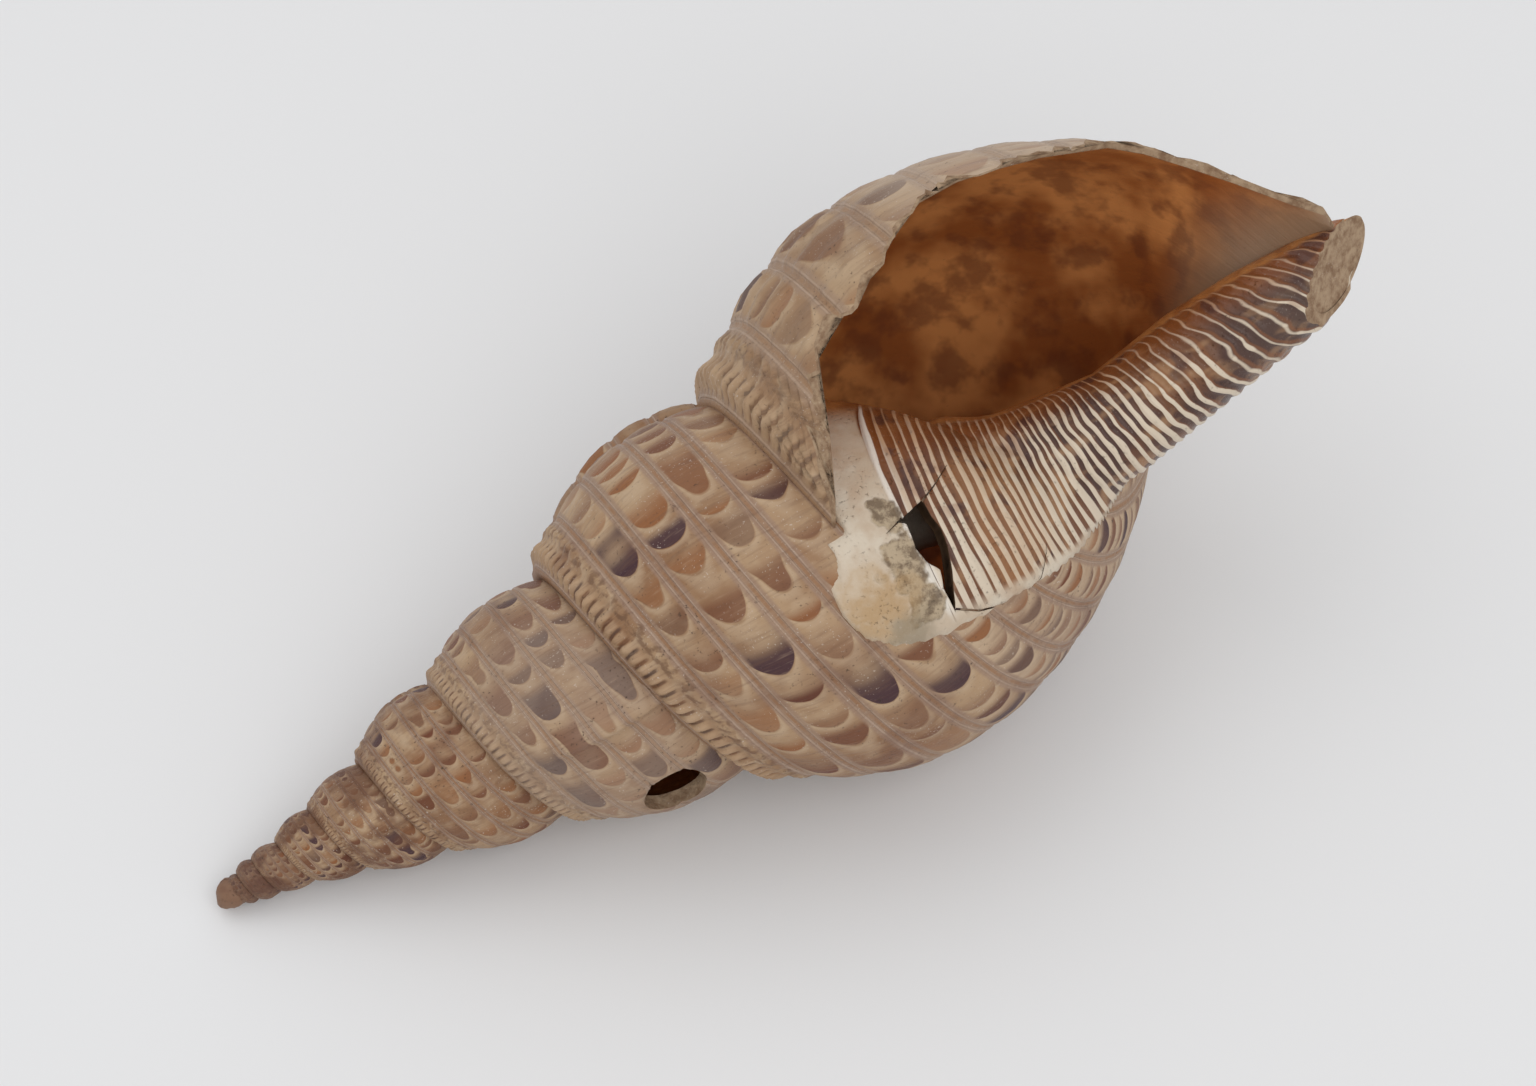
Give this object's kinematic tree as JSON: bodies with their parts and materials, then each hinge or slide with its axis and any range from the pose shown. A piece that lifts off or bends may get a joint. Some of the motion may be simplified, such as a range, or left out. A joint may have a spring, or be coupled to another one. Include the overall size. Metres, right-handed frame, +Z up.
{
  "type": "triton shell trumpet",
  "caption": "Large spiral sea shell on its side, with a wide oval mouth, a ribbed inner lip, thick ribs left by old lips, a worn point and a blow hole cut in its spire.",
  "frame": {"origin": "centre of the shell's bounding box at the surface it rests on", "axes": "+X from the worn point towards the mouth end, level, -Y to the side the mouth and blow hole look to, +Z up"},
  "size_m": [0.356, 0.1456, 0.1635],
  "materials": {
    "shell": "satin, worn matt in places"
  },
  "bodies": {
    "root": {"shell": "shell"}
  },
  "joints": []
}
